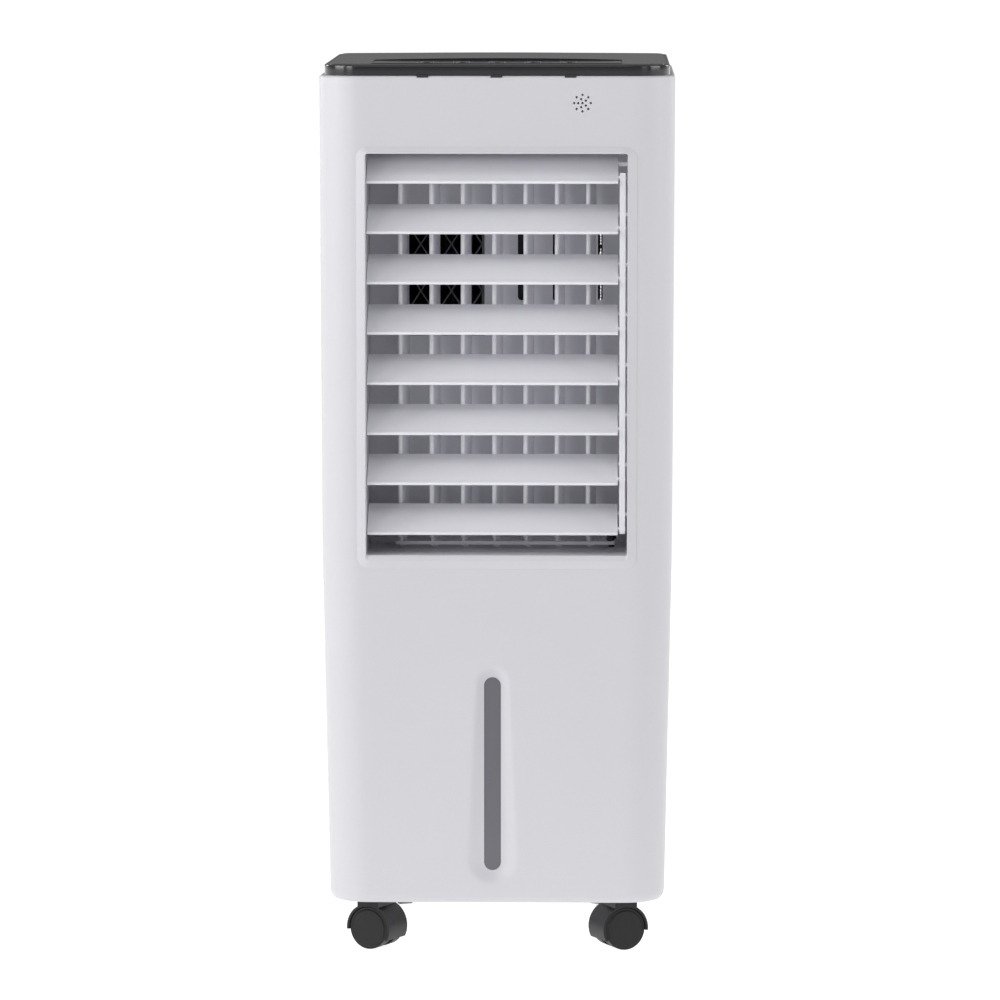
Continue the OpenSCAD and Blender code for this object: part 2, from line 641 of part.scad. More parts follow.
front_casing();
rear_casing();
base_pan();
top_cover();
control_panel();
display_window();
control_board();
key(0);  // key_power
key(1);  // key_mode
key(2);  // key_speed
key(3);  // key_swing
key(4);  // key_timer
level_window();
louvre_frame();
louvre(0);  // louvre_1
louvre(1);  // louvre_2
louvre(2);  // louvre_3
louvre(3);  // louvre_4
louvre(4);  // louvre_5
louvre(5);  // louvre_6
louvre(6);  // louvre_7
louvre(7);  // louvre_8
louvre_link();
vane_frame();
vane(0);  // vane_1
vane(1);  // vane_2
vane(2);  // vane_3
vane(3);  // vane_4
vane(4);  // vane_5
vane(5);  // vane_6
vane(6);  // vane_7
vane_link();
swing_motor();
swing_crank();
air_guide();
outlet_guard();
blower_housing();
blower_cover();
blower_wheel();
motor_shaft();
fan_motor();
motor_bracket();
filter_frame();
dust_filter();
cooling_pad();
drip_tray();
water_hose();
water_pump();
water_tank();
drain_plug();
caster_place(-caster_x, -caster_y, sw_fl) caster_hood();  // caster_fl_hood
caster_place(-caster_x, -caster_y, sw_fl) caster_wheels();  // caster_fl_wheels
caster_place(caster_x, -caster_y, sw_fr) caster_hood();  // caster_fr_hood
caster_place(caster_x, -caster_y, sw_fr) caster_wheels();  // caster_fr_wheels
caster_place(-caster_x, caster_y, sw_rl) caster_hood();  // caster_rl_hood
caster_place(-caster_x, caster_y, sw_rl) caster_wheels();  // caster_rl_wheels
caster_place(caster_x, caster_y, sw_rr) caster_hood();  // caster_rr_hood
caster_place(caster_x, caster_y, sw_rr) caster_wheels();  // caster_rr_wheels
cord_gland();
casing_screws();
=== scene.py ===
import json
import math

import bmesh
import bpy
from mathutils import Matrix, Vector


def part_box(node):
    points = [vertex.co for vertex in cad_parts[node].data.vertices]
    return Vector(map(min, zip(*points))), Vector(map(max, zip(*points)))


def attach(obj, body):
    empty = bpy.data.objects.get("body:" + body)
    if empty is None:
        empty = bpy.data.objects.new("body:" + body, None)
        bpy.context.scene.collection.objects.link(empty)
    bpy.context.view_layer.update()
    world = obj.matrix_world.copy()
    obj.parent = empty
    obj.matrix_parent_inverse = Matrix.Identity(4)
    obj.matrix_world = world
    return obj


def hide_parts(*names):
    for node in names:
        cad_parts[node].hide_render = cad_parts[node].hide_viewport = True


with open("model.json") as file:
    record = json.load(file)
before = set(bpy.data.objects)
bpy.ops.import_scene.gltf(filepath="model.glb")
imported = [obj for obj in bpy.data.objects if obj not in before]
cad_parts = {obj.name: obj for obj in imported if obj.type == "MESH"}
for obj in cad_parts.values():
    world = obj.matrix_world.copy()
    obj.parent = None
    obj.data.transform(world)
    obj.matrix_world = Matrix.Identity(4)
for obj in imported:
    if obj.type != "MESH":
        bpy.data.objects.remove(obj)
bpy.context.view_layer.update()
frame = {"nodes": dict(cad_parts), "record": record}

NODES = frame["nodes"]
SC = bpy.context.scene
COL = SC.collection
MM = 0.001

# ---------------------------------------------------------------- camera
cam_data = bpy.data.cameras.new("camera")
cam_data.lens = 216
cam_data.sensor_width = 36
cam_data.clip_end = 100
cam = bpy.data.objects.new("camera", cam_data)
cam.location = (0.0925, -5.185, 0.919)
cam.rotation_euler = (math.radians(84.0), 0, math.radians(1.02))
COL.objects.link(cam)
SC.camera = cam

# ---------------------------------------------------------------- figures of the frame, in mm
FOOT = frame["nodes"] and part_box("front_casing")[0].z / MM
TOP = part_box("front_casing")[1].z / MM
HY = 157.0
FIL = FOOT + 8.5
W_TOP, W_MID, W_LOW, Z_MID = 300.0, 297.0, 285.0, 350.0
LW_X, LW_Z0, LW_Z1 = -3.5, 81.0, 232.0
LV_Y, LV_Z1, PITCH = -127.0, 672.1, 42.4
REST = math.radians(32)
LV_FRONT, LV_REAR = 28.0, 14.0
KEY_X, KEY_Y = (-60, -30, 0, 30, 60), -129.0
CORNERS = {"fl": (-98, -110, 62), "fr": (98, -110, -65), "rl": (-98, 110, 200), "rr": (98, 110, 150)}


# ---------------------------------------------------------------- mesh helpers
def add(name, verts, faces):
    me = bpy.data.meshes.new(name)
    me.from_pydata([(x * MM, y * MM, z * MM) for x, y, z in verts], [], faces)
    me.validate()
    bm = bmesh.new()
    bm.from_mesh(me)
    bmesh.ops.recalc_face_normals(bm, faces=bm.faces)
    for f in bm.faces:
        f.smooth = True
    bm.to_mesh(me)
    bm.free()
    ob = bpy.data.objects.new(name, me)
    COL.objects.link(ob)
    return ob


def bake(ob):
    dg = bpy.context.evaluated_depsgraph_get()
    dg.update()
    me = bpy.data.meshes.new_from_object(ob.evaluated_get(dg))
    old = ob.data
    ob.modifiers.clear()
    ob.data = me
    bpy.data.meshes.remove(old)
    return ob


def boolean(ob, cutter, op="DIFFERENCE", own=False):
    m = ob.modifiers.new("b", "BOOLEAN")
    m.operation = op
    m.solver = "EXACT"
    m.use_self = own
    m.object = cutter
    bake(ob)
    me = cutter.data
    bpy.data.objects.remove(cutter)
    bpy.data.meshes.remove(me)
    return ob


def join(name, parts):
    """One mesh object of several closed islands."""
    bm = bmesh.new()
    for p in parts:
        bm.from_mesh(p.data)
    me = bpy.data.meshes.new(name)
    bm.to_mesh(me)
    bm.free()
    for p in parts:
        old = p.data
        bpy.data.objects.remove(p)
        bpy.data.meshes.remove(old)
    ob = bpy.data.objects.new(name, me)
    COL.objects.link(ob)
    return ob


def loft(name, rings, close=False, caps=False):
    """Skins a list of rings that all have the same number of points."""
    n = len(rings[0])
    verts = [p for r in rings for p in r]
    faces = []
    m = len(rings)
    for k in range(m if close else m - 1):
        a, b = k * n, ((k + 1) % m) * n
        for i in range(n):
            j = (i + 1) % n
            faces.append((a + i, a + j, b + j, b + i))
    if caps:
        faces.append(tuple(range(n - 1, -1, -1)))
        faces.append(tuple((m - 1) * n + i for i in range(n)))
    return add(name, verts, faces)


def block(name, x0, x1, y0, y1, z0, z1):
    return loft(name, [[(x0, y0, z), (x1, y0, z), (x1, y1, z), (x0, y1, z)] for z in (z0, z1)], caps=True)


def rod(name, a, b, r, seg=24, r2=None, chamfer=0.0):
    """Closed round bar between two points."""
    a, b = Vector(a), Vector(b)
    d = (b - a).normalized()
    u = d.orthogonal().normalized()
    v = d.cross(u)
    r2 = r if r2 is None else r2
    steps = [(0.0, r - chamfer), (chamfer, r), ((b - a).length - chamfer, r2), ((b - a).length, r2 - chamfer)] if chamfer else [(0.0, r), ((b - a).length, r2)]
    rings = []
    for t, q in steps:
        c = a + d * t
        rings.append([tuple(c + u * q * math.cos(2 * math.pi * i / seg) + v * q * math.sin(2 * math.pi * i / seg)) for i in range(seg)])
    return loft(name, rings, caps=True)


def hull(name, pts):
    bm = bmesh.new()
    for p in pts:
        bm.verts.new([c * MM for c in p])
    r = bmesh.ops.convex_hull(bm, input=bm.verts)
    loose = []
    for g in r["geom_unused"] + r["geom_interior"]:
        if isinstance(g, bmesh.types.BMVert) and g not in loose:
            loose.append(g)
    bmesh.ops.delete(bm, geom=loose, context="VERTS")
    bmesh.ops.dissolve_limit(bm, angle_limit=0.01, verts=bm.verts, edges=bm.edges)
    bmesh.ops.recalc_face_normals(bm, faces=bm.faces)
    me = bpy.data.meshes.new(name)
    bm.to_mesh(me)
    bm.free()
    ob = bpy.data.objects.new(name, me)
    COL.objects.link(ob)
    return ob


def prism_y(name, outline, y0, y1):
    """Closed prism along Y over an outline of (x, z)."""
    return loft(name, [[(x, y, z) for x, z in outline] for y in (y0, y1)], caps=True)


def capsule(x, z0, z1, r, seg=24):
    pts = [(x + r * math.cos(math.pi + math.pi * i / seg), z0 + r * math.sin(math.pi + math.pi * i / seg)) for i in range(seg + 1)]
    return pts + [(x + r * math.cos(math.pi * i / seg), z1 + r * math.sin(math.pi * i / seg)) for i in range(seg + 1)]


def circle(x, z, r, seg=20):
    return [(x + r * math.cos(2 * math.pi * i / seg), z + r * math.sin(2 * math.pi * i / seg)) for i in range(seg)]


def rect_ring(x0, x1, z0, z1, r, seg=6, side=6):
    """Rounded rectangle as (x, z) points, the same count whatever the radius."""
    out = []
    for cx, cz, a, nx, nz in ((x1 - r, z0 + r, -90, 1, 0), (x1 - r, z1 - r, 0, 0, 1), (x0 + r, z1 - r, 90, -1, 0), (x0 + r, z0 + r, 180, 0, -1)):
        for i in range(seg + 1):
            t = math.radians(a + 90 * i / seg)
            out.append((cx + r * math.cos(t), cz + r * math.sin(t)))
        nxt = {-90: (x1, z1 - r), 0: (x0 + r, z1), 90: (x0, z0 + r), 180: (x1 - r, z0)}[a]
        last = out[-1]
        for i in range(1, side):
            out.append((last[0] + (nxt[0] - last[0]) * i / side, last[1] + (nxt[1] - last[1]) * i / side))
    return out


def smooth_group():
    """Shades smooth, and sharp where two faces meet at more than the angle."""
    g = bpy.data.node_groups.new("smooth_by_angle", "GeometryNodeTree")
    g.interface.new_socket("Geometry", in_out="INPUT", socket_type="NodeSocketGeometry")
    a = g.interface.new_socket("Angle", in_out="INPUT", socket_type="NodeSocketFloat")
    a.default_value = math.radians(40)
    g.interface.new_socket("Geometry", in_out="OUTPUT", socket_type="NodeSocketGeometry")
    i, o = g.nodes.new("NodeGroupInput"), g.nodes.new("NodeGroupOutput")
    s1, s2 = g.nodes.new("GeometryNodeSetShadeSmooth"), g.nodes.new("GeometryNodeSetShadeSmooth")
    s1.domain, s2.domain = "FACE", "EDGE"
    s1.inputs["Shade Smooth"].default_value = True
    s2.inputs["Shade Smooth"].default_value = False
    ang, cmp = g.nodes.new("GeometryNodeInputMeshEdgeAngle"), g.nodes.new("FunctionNodeCompare")
    cmp.data_type, cmp.operation = "FLOAT", "GREATER_THAN"
    L = g.links.new
    L(i.outputs["Geometry"], s1.inputs["Geometry"])
    L(s1.outputs[0], s2.inputs["Geometry"])
    L(ang.outputs["Unsigned Angle"], cmp.inputs[0])
    L(i.outputs["Angle"], cmp.inputs[1])
    L(cmp.outputs[0], s2.inputs["Selection"])
    L(s2.outputs[0], o.inputs[0])
    return g


SMOOTH = smooth_group()


def finish_edges(ob, width=0.0, seg=2, limit=35, weld=False, smooth=45, weighted=True, overlap=True):
    """Welds, rounds the edges and shades by angle."""
    if weld:
        m = ob.modifiers.new("weld", "WELD")
        m.merge_threshold = 0.000002
    if width:
        m = ob.modifiers.new("bevel", "BEVEL")
        m.width = width * MM
        m.segments = seg
        m.limit_method = "ANGLE"
        m.angle_limit = math.radians(limit)
        m.use_clamp_overlap = overlap
        m.miter_outer = "MITER_ARC"
        m.harden_normals = False
    m = ob.modifiers.new("smooth", "NODES")
    m.node_group = SMOOTH
    for item in SMOOTH.interface.items_tree:
        if item.name == "Angle":
            m[item.identifier] = math.radians(smooth)
    if weighted:
        m = ob.modifiers.new("normals", "WEIGHTED_NORMAL")
        m.keep_sharp = True
        m.weight = 80
    return ob


# ---------------------------------------------------------------- materials
def material(name, rgb, rough=0.45, var=0.03, blotch=14.0, grain=900.0, bump=0.12, depth=0.00006, rough_var=0.05,
             metallic=0.0, coat=0.0, coat_rough=0.05, ior=1.5, trans=0.0, spec=0.5, dust=0.0, stretch=None, alpha=1.0):
    m = bpy.data.materials.new(name)
    m.use_nodes = True
    nt = m.node_tree
    b = nt.nodes["Principled BSDF"]
    L = nt.links.new
    tc = nt.nodes.new("ShaderNodeTexCoord")
    mp = nt.nodes.new("ShaderNodeMapping")
    if stretch:
        mp.inputs["Scale"].default_value = stretch
    L(tc.outputs["Object"], mp.inputs["Vector"])
    n1 = nt.nodes.new("ShaderNodeTexNoise")
    n1.inputs["Scale"].default_value = blotch
    n1.inputs["Detail"].default_value = 4
    L(tc.outputs["Object"], n1.inputs["Vector"])
    mix = nt.nodes.new("ShaderNodeMix")
    mix.data_type = "RGBA"
    mix.inputs[6].default_value = (*[max(c * (1 - var), 0) for c in rgb], 1)
    mix.inputs[7].default_value = (*[min(c * (1 + var), 1) for c in rgb], 1)
    L(n1.outputs["Fac"], mix.inputs[0])
    L(mix.outputs[2], b.inputs["Base Color"])
    n2 = nt.nodes.new("ShaderNodeTexNoise")
    n2.inputs["Scale"].default_value = grain
    n2.inputs["Detail"].default_value = 3
    L(mp.outputs["Vector"], n2.inputs["Vector"])
    bp = nt.nodes.new("ShaderNodeBump")
    bp.inputs["Strength"].default_value = bump
    bp.inputs["Distance"].default_value = depth
    L(n2.outputs["Fac"], bp.inputs["Height"])
    L(bp.outputs["Normal"], b.inputs["Normal"])
    n3 = nt.nodes.new("ShaderNodeTexNoise")
    n3.inputs["Scale"].default_value = blotch * 4.3
    n3.inputs["Detail"].default_value = 5
    L(tc.outputs["Object"], n3.inputs["Vector"])
    mr = nt.nodes.new("ShaderNodeMapRange")
    mr.inputs["To Min"].default_value = max(rough - rough_var, 0.02)
    mr.inputs["To Max"].default_value = min(rough + rough_var, 1)
    L(n3.outputs["Fac"], mr.inputs["Value"])
    L(mr.outputs["Result"], b.inputs["Roughness"])
    b.inputs["Metallic"].default_value = metallic
    b.inputs["IOR"].default_value = ior
    b.inputs["Specular IOR Level"].default_value = spec
    b.inputs["Coat Weight"].default_value = coat
    b.inputs["Coat Roughness"].default_value = coat_rough
    b.inputs["Transmission Weight"].default_value = trans
    return m


MATS = {
    # white_plastic, white_moving and vane_plastic are one white plastic in three tones: the casing's copy is darker as
    # painted shade, the louvres' and vanes' copies lighter as painted light inside the outlet duct.
    "white_plastic": material("white_plastic", (0.60, 0.595, 0.622), 0.42, 0.018, 9, 1500, 0.10),
    "white_moving": material("white_moving", (0.785, 0.78, 0.822), 0.40, 0.02, 12, 1500, 0.10),
    "vane_plastic": material("vane_plastic", (0.90, 0.895, 0.94), 0.42, 0.03, 16, 1500, 0.10),
    "tank_plastic": material("tank_plastic", (0.62, 0.62, 0.65), 0.42, 0.02, 9, 1500, 0.10),
    "grey_plastic": material("grey_plastic", (0.76, 0.76, 0.81), 0.5, 0.04, 16, 1300, 0.12),
    "gloss_black": material("gloss_black", (0.012, 0.012, 0.014), 0.16, 0.15, 10, 700, 0.02, rough_var=0.03, coat=0.6, coat_rough=0.08),
    "black_plastic": material("black_plastic", (0.012, 0.012, 0.013), 0.44, 0.14, 30, 1100, 0.22, spec=0.35),
    "wheel_plastic": material("wheel_plastic", (0.012, 0.012, 0.013), 0.46, 0.14, 40, 1100, 0.2, spec=0.32),
    "key_plastic": material("key_plastic", (0.035, 0.035, 0.04), 0.3, 0.1, 30, 900, 0.06, coat=0.3),
    "smoked_window": material("smoked_window", (0.115, 0.115, 0.132), 0.2, 0.05, 20, 600, 0.03, coat=0.5),
    "display_black": material("display_black", (0.02, 0.02, 0.024), 0.12, 0.1, 20, 600, 0.01, rough_var=0.02, coat=0.8),
    "board_green": material("board_green", (0.03, 0.2, 0.09), 0.5, 0.15, 60, 900, 0.1),
    "bright_steel": material("bright_steel", (0.62, 0.62, 0.64), 0.3, 0.06, 40, 1200, 0.1, metallic=1.0, stretch=(1, 1, 0.1)),
    "motor_black": material("motor_black", (0.05, 0.052, 0.058), 0.42, 0.12, 30, 900, 0.12),
    "wire_grey": material("wire_grey", (0.10, 0.10, 0.115), 0.45, 0.12, 60, 1400, 0.2),
    "pad_cellulose": material("pad_cellulose", (0.40, 0.25, 0.11), 0.85, 0.3, 60, 700, 0.6, depth=0.0002),
    "filter_mesh": material("filter_mesh", (0.07, 0.075, 0.085), 0.6, 0.15, 60, 1500, 0.3),
    "hose_clear": material("hose_clear", (0.66, 0.70, 0.73), 0.25, 0.05, 30, 500, 0.05, trans=0.35),
    "pump_black": material("pump_black", (0.035, 0.038, 0.045), 0.4, 0.15, 40, 1000, 0.2),
}
SLOT_OF = {s["node"]: s["material_slot"] for s in frame["record"]["subparts"]}
# The blower housing and cover take the black plastic instead of their grey slot: painted shade that darkens the blower
# mouth behind the guard.
SLOT_OF["blower_housing"] = SLOT_OF["blower_cover"] = "black_plastic"


def dress(ob, slot):
    ob.data.materials.clear()
    ob.data.materials.append(MATS[slot])


def piece(ob, body, slot, *nodes):
    dress(ob, slot)
    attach(ob, body)
    if nodes:
        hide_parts(*nodes)
    return ob


for n, o in NODES.items():
    if not o.data.materials:
        o.data.materials.append(None)
    for i in range(len(o.data.materials)):
        o.data.materials[i] = MATS[SLOT_OF[n]]


# ---------------------------------------------------------------- casing shells
def softmin(a, b, k=0.35):
    m = min(a, b)
    return m - k * math.log(math.exp(-(a - m) / k) + math.exp(-(b - m) / k))


def width(z):
    z = max(z, FIL)
    return softmin(W_LOW + (W_MID - W_LOW) * (z - FIL) / (Z_MID - FIL), W_MID + (W_TOP - W_MID) * (z - Z_MID) / (TOP - Z_MID))


def columns():
    xs = [-116 + 8.6 * i for i in range(10)]
    xs += [-30 + 1.8 * i for i in range(30)]
    xs += [25 + 9.1 * i for i in range(10)]
    return [(x + 116) / 232 for x in xs] + [1.0]


COLS = columns()


def plan(w, d, rf, rr, z, seg=10, side=10, back=10, cy=0.0):
    """Plan outline, counter-clockwise from the front left, one count for every size."""
    hw, hd = w / 2, d / 2
    out = []
    for t in COLS[:-1]:
        out.append((-(hw - rf) + 2 * (hw - rf) * t, cy - hd, z))
    for i in range(seg):
        a = math.radians(-90 + 90 * i / seg)
        out.append((hw - rf + rf * math.cos(a), cy - hd + rf + rf * math.sin(a), z))
    for i in range(side):
        out.append((hw, cy - hd + rf + (d - rf - rr) * i / side, z))
    for i in range(seg):
        a = math.radians(90 * i / seg)
        out.append((hw - rr + rr * math.cos(a), cy + hd - rr + rr * math.sin(a), z))
    for i in range(back):
        out.append((hw - rr - (w - 2 * rr) * i / back, cy + hd, z))
    for i in range(seg):
        a = math.radians(90 + 90 * i / seg)
        out.append((-hw + rr + rr * math.cos(a), cy + hd - rr + rr * math.sin(a), z))
    for i in range(side):
        out.append((-hw, cy + hd - rr - (d - rf - rr) * i / side, z))
    for i in range(seg):
        a = math.radians(180 + 90 * i / seg)
        out.append((-hw + rf + rf * math.cos(a), cy - hd + rf + rf * math.sin(a), z))
    return out


def smoothstep(t):
    t = min(max(t, 0.0), 1.0)
    return t * t * (3 - 2 * t)


def cone_dist(x, z, za, ra, zb, rb):
    """Signed distance to the hull of two circles on one vertical line."""
    px, pz = abs(x - LW_X), z
    h = zb - za
    s = (ra - rb) / h
    c = math.sqrt(1 - s * s)
    k = (pz - za) * c - px * s
    if k < 0:
        return math.hypot(px, pz - za) - ra
    if k > h * c:
        return math.hypot(px, pz - zb) - rb
    return px * c + (pz - za) * s - ra


def hollow(x, z):
    out = -cone_dist(x, z, 84.5, 22.0, 234.5, 14.0)
    if out <= 0:
        return 0.0
    inn = max(cone_dist(x, z, LW_Z0, 8.4, LW_Z1, 8.4), 0.0)
    t = out / (out + inn)
    return 0.35 * t + 0.65 * smoothstep(t)


def levels():
    zs = []
    for i in range(8):
        a = math.radians(90 * i / 8)
        zs.append((FIL - 8.5 * math.cos(a), 6 * (1 - math.sin(a))))
    z = FIL
    while z < 258:
        zs.append((z, 0.0))
        z += 2.0
    while z < TOP - 8:
        zs.append((z, 0.0))
        z += 12.0
    zs.append((TOP - 4.5, 0.0))
    for i in range(6):
        a = math.radians(90 * i / 5)
        zs.append((TOP - 2.4 + 2.4 * math.sin(a), 2.4 * (1 - math.cos(a))))
    return zs


def shell(name):
    rings = []
    for z, e in levels():
        ring = plan(width(z) - 2 * e, 2 * HY - 2 * e, 34 - e, 18 - e, z)
        rings.append([(x, y + (5.0 * hollow(x, z) if y < -HY + 0.01 else 0.0), zz) for x, y, zz in ring])
    rings.append(plan(264, 278, 2, 2, TOP, cy=1.0))
    rings.append(plan(264, 278, 2, 2, TOP - 3, cy=1.0))
    inner = []
    for z, e in levels():
        if z > TOP - 4:
            continue
        ex = 2.5 if z >= FIL + 0.5 else 2.5 + 6 * (FIL + 0.5 - z) / 9.0
        ring = plan(width(z) - 2 * ex, 2 * HY - 2 * ex, 34 - ex, 18 - ex, z)
        inner.append([(x, y + (4.7 * hollow(x, z) if z > FIL and y < -HY + 2.51 else 0.0), zz) for x, y, zz in ring])
    inner.append(plan(width(TOP) - 5, 2 * HY - 5, 31.5, 15.5, TOP - 3))
    rings += reversed(inner)
    return loft(name, rings, close=True)


front = shell("front_shell")
cut = [block("c", -200, 200, -92, 200, 0, 800), block("c", -113.5, 113.5, -175, -140, 340, 685.5),
       prism_y("c", capsule(LW_X, LW_Z0, LW_Z1, 7.1), -158, -140)]
for x in (-62, 0, 62):
    cut.append(block("c", x - 5, x + 5, -160, -149.6, TOP - 1.4, TOP + 2))
holes = [(0, 0)] + [(3.5 * math.cos(math.radians(a * 72 + 36)), 3.5 * math.sin(math.radians(a * 72 + 36))) for a in range(5)]
holes += [(6.9 * math.cos(math.radians(a * 45)), 6.9 * math.sin(math.radians(a * 45))) for a in range(8)]
for dx, dz in holes:
    cut.append(prism_y("c", circle(72 + dx, 724.5 + dz, 0.95, 16), -160, -150))
boolean(front, join("cut_front", cut))
piece(front, "casing", "white_plastic", "front_casing")
finish_edges(front, 0.35, 2, 50, smooth=40)

rear = shell("rear_shell")


def grip(s, o):
    pts = []
    for y in (-8, 62):
        for i in range(28):
            a = 2 * math.pi * i / 28
            for x, z, r in ((s * (152 - (4 if o else 0)), 655, 13 + o), (s * (134 - o), 660, 8 + o)):
                pts.append((x, y + r * math.sin(a), z + r * math.cos(a)))
    return hull("g", pts)


boolean(rear, join("cups", [grip(-1, 2), grip(1, 2)]), "UNION")
cut = [block("c", -200, 200, -200, -91.65, 0, 800), block("c", -114.5, 114.5, 140, 175, 329.5, 690.5), block("c", -122, 122, 140, 175, 61.5, 254.5), grip(-1, 0), grip(1, 0),
       prism_y("c", circle(-100, 296, 7, 32), 140, 175)]
for s in (-1, 1):
    for z in (300, 500, 715):
        cut.append(prism_y("c", circle(s * 125.5, z, 1.7, 16), 140, 175))
boolean(rear, join("cut_rear", cut))
piece(rear, "casing", "white_plastic", "rear_casing")
finish_edges(rear, 0.6, 2, 50, smooth=40)

# ---------------------------------------------------------------- louvre frame with its bezel
rings = []
for k in range(9):
    t = k / 8
    f = 0.8 * t + 0.2 * math.sin(math.pi / 2 * t) if t < 1 else 1.0
    r = rect_ring(-118 + 7.2 * t, 118 - 7.2 * t, 332 + 6.8 * t, 688 - 5.2 * t, 10 - 6 * t)
    rings.append([(x, -157 - 3.0 * f, z) for x, z in r])
r = rect_ring(-110.35, 110.35, 341.5, 682.4, 2.6)
rings.append([(x, -159.95 + (0.55 if z < 343 else 0.0), z) for x, z in r])
r = rect_ring(-110, 110, 343.5, 682, 1.5)
rings.append([(x, -159.3 + (1.1 if z < 345 else 0.0), z) for x, z in r])
for y in (-150, -137, -125, -113.5):
    rings.append([(x, y, z) for x, z in r])
r = rect_ring(-112.5, 112.5, 341, 684.5, 3)
rings.append([(x, -113.5, z) for x, z in r])
rings.append([(x, -156.9, z) for x, z in r])
bezel = loft("outlet_bezel", rings, close=True)
cut = []
for i in range(8):
    z = LV_Z1 - i * PITCH
    cut.append(rod("c", (-114, LV_Y, z), (-108, LV_Y, z), 2.0, 24))
    cut.append(rod("c", (108, LV_Y, z), (114, LV_Y, z), 2.0, 24))
boolean(bezel, join("cut_bezel", cut))
piece(bezel, "casing", "white_plastic", "louvre_frame")
finish_edges(bezel, smooth=32)


# ---------------------------------------------------------------- louvres
def catmull(points, n):
    out = []
    for i in range(len(points) - 1):
        p0, p1, p2, p3 = points[max(i - 1, 0)], points[i], points[i + 1], points[min(i + 2, len(points) - 1)]
        for k in range(n):
            t = k / n
            out.append(tuple(0.5 * (2 * p1[a] + (p2[a] - p0[a]) * t + (2 * p0[a] - 5 * p1[a] + 4 * p2[a] - p3[a]) * t * t + (3 * p1[a] - p0[a] - 3 * p2[a] + p3[a]) * t ** 3) for a in (0, 1)))
    out.append(points[-1])
    return out


def slat_outline():
    f, r = LV_FRONT, LV_REAR
    top = catmull([(1.5, -f + 1.5), (1.3, -f + 3.2), (1.25, -f + 6), (1.6, -14), (2.05, -4), (2.1, 3), (1.6, r - 6), (0.8, r - 0.8)], 4)
    back = [(0.8 * math.cos(math.radians(a)), r - 0.8 + 0.8 * math.sin(math.radians(a))) for a in range(22, 180, 22)]
    low = [(-t, c) for t, c in reversed(top)]
    lip = [(-1.5 * math.cos(math.radians(a)), -f + 1.5 - 1.5 * math.sin(math.radians(a))) for a in range(15, 180, 15)]
    return top + back + low + lip


OUT = slat_outline()


def at(t, c, z0):
    """Thickness and chord of the slat to y and z at rest."""
    return LV_Y + c * math.cos(REST) - t * math.sin(REST), z0 + c * math.sin(REST) + t * math.cos(REST)


for i in range(8):
    z0 = LV_Z1 - i * PITCH
    rings = []
    cz = sum(c for t, c in OUT) / len(OUT)
    for x, e in ((-109.4, 0.35), (-109.05, 0.0), (-90, 0.0), (0, 0.0), (85, 0.0), (101.85, 0.0), (102.2, 0.35)):
        ring = []
        for t, c in OUT:
            tt = t * (1 - e / 2.2)
            cc = c + (e if c < -LV_FRONT + 1.5 else 0.0) - (e if c > LV_REAR - 0.8 else 0.0)
            y, z = at(tt, cc, z0)
            ring.append((x, y, z))
        rings.append(ring)
    slat = loft("s", rings, caps=True)
    y, z = at(0, 0, z0)
    pin = [rod("p", (-113.9, y, z), (-108.9, y, z), 1.95, 24, chamfer=0.3), rod("p", (101.7, y, z), (114, y, z), 1.95, 24, chamfer=0.3)]
    y, z = at(0, -20, z0)
    pin.append(rod("p", (101.7, y, z), (109.2, y, z), 1.5, 24, chamfer=0.3))
    ob = join("slat_%d" % (i + 1), [slat] + pin)
    piece(ob, "louvre_%d" % (i + 1), "white_moving", "louvre_%d" % (i + 1))
    finish_edges(ob, smooth=38)

# ---------------------------------------------------------------- swinging vanes, thicker at the front edge
VANE = -math.radians(10)
FIN = [(1.9 * math.cos(math.pi * k / 12), -16.1 - 1.9 * math.sin(math.pi * k / 12)) for k in range(13)]
FIN += [(-1.78, -11), (-1.5, -3), (-1.15, 7), (-0.85, 16.6), (-0.6, 17.7), (-0.3, 18), (0.3, 18), (0.6, 17.7), (0.85, 16.6), (1.15, 7), (1.5, -3), (1.78, -11)]


def fin_at(x0, t, c, z):
    return x0 + t * math.cos(VANE) - c * math.sin(VANE), -88 + t * math.sin(VANE) + c * math.cos(VANE), z


for i in range(7):
    x0 = (i - 3) * 26.6
    lo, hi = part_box("vane_%d" % (i + 1))
    za, zb = hi[2] / MM, lo[2] / MM
    za, zb = min(za, zb), max(za, zb)
    rings = []
    for z, e in ((353, 0.4), (353.4, 0.0), (460, 0.0), (570, 0.0), (675.6, 0.0), (676, 0.4)):
        rings.append([fin_at(x0, t * (1 - e / 2), c + (e if c < -17 else 0) - (e if c > 17.5 else 0), z) for t, c in FIN])
    parts = [loft("f", rings, caps=True)]
    parts.append(rod("f", (x0, -88, 352.5), (x0, -88, 366.5), 3.0, 24, chamfer=0.3))
    parts.append(rod("f", (x0, -88, 662.5), (x0, -88, 676.5), 3.0, 24, chamfer=0.3))
    parts.append(rod("f", (x0, -88, za), (x0, -88, 354), 1.95, 24, chamfer=0.3))
    parts.append(rod("f", (x0, -88, 675), (x0, -88, zb), 1.95, 24, chamfer=0.3))
    x, y, z = fin_at(x0, 0, -12, 0)
    parts.append(rod("f", (x, y, 345.4), (x, y, 357.4), 1.5, 24, chamfer=0.3))
    ring = [(-2, -14.5), (2, -14.5), (2, 0), (-2, 0)]
    parts.append(loft("f", [[fin_at(x0, t, c, z) for t, c in ring] for z in (352.4, 355)], caps=True))
    ob = join("fin_%d" % (i + 1), parts)
    piece(ob, "vane_%d" % (i + 1), "vane_plastic", "vane_%d" % (i + 1))
    finish_edges(ob, smooth=38)

# ---------------------------------------------------------------- top cover
rings = []


def top_ring(e, z, rf=30.0, rr=15.0):
    return plan(291 - 2 * e, 305 - 2 * e, max(rf - e, 1.0), max(rr - e, 1.0), z)


def crown(x, y):
    return 757.0 + 2.95 * (1 - (x / 145.5) ** 2) * (1 - (y / 152.5) ** 2) ** 0.7


